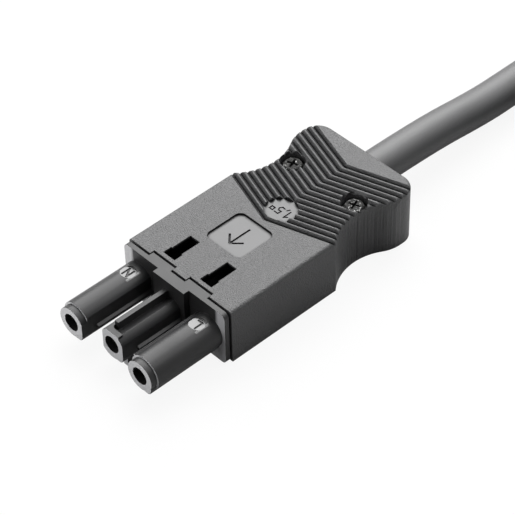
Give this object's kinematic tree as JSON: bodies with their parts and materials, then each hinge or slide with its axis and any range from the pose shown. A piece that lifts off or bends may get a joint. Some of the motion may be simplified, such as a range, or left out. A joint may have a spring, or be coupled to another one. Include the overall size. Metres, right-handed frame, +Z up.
{
  "type": "installation connector cable",
  "caption": "Flat black socket connector with insulated sleeves and a ribbed grip housing, on a round flexible cable that is coiled and ends in ferrules.",
  "frame": {"origin": "under the middle of the connector, on the surface that it lies on", "axes": "+X from the sleeves back along the cable, +Y towards the neutral pole, +Z up"},
  "size_m": [0.1989, 0.1163, 0.0172],
  "materials": {
    "housing_plastic": "finely textured black polyamide",
    "carrier_plastic": "smooth semi-gloss black polyamide",
    "contact_metal": "turned brass, dulled inside its sleeve",
    "zinc_steel": "zinc-plated steel, worn at the recess",
    "copper_strand": "bare fine-stranded copper",
    "core_blue": "smooth blue insulation",
    "core_green_yellow": "green and yellow striped insulation",
    "core_brown": "smooth brown insulation",
    "cable_sheath": "satin black flexible sheath",
    "tie_fabric": "woven hook-and-loop tape",
    "ferrule_tin": "crimped tin-plated copper",
    "collar_plastic": "smooth black polypropylene"
  },
  "bodies": {
    "root": {"housing_cover": "housing_plastic", "housing_base": "housing_plastic", "contact_carrier": "carrier_plastic", "cover_screw_left": "zinc_steel", "cover_screw_right": "zinc_steel", "contact_neutral": "contact_metal", "clamp_screw_neutral": "zinc_steel", "conductor_neutral": "copper_strand", "contact_earth": "contact_metal", "clamp_screw_earth": "zinc_steel", "conductor_earth": "copper_strand", "contact_live": "contact_metal", "clamp_screw_live": "zinc_steel", "conductor_live": "copper_strand", "core_neutral": "core_blue", "core_earth": "core_green_yellow", "core_live": "core_brown", "cable_in_housing": "cable_sheath", "cable_run": "cable_sheath", "cable_coil": "cable_sheath", "coil_tie_1": "tie_fabric", "coil_tie_2": "tie_fabric", "free_core_neutral": "core_blue", "ferrule_neutral": "ferrule_tin", "ferrule_collar_neutral": "collar_plastic", "free_core_earth": "core_green_yellow", "ferrule_earth": "ferrule_tin", "ferrule_collar_earth": "collar_plastic", "free_core_live": "core_brown", "ferrule_live": "ferrule_tin", "ferrule_collar_live": "collar_plastic"}
  },
  "joints": []
}
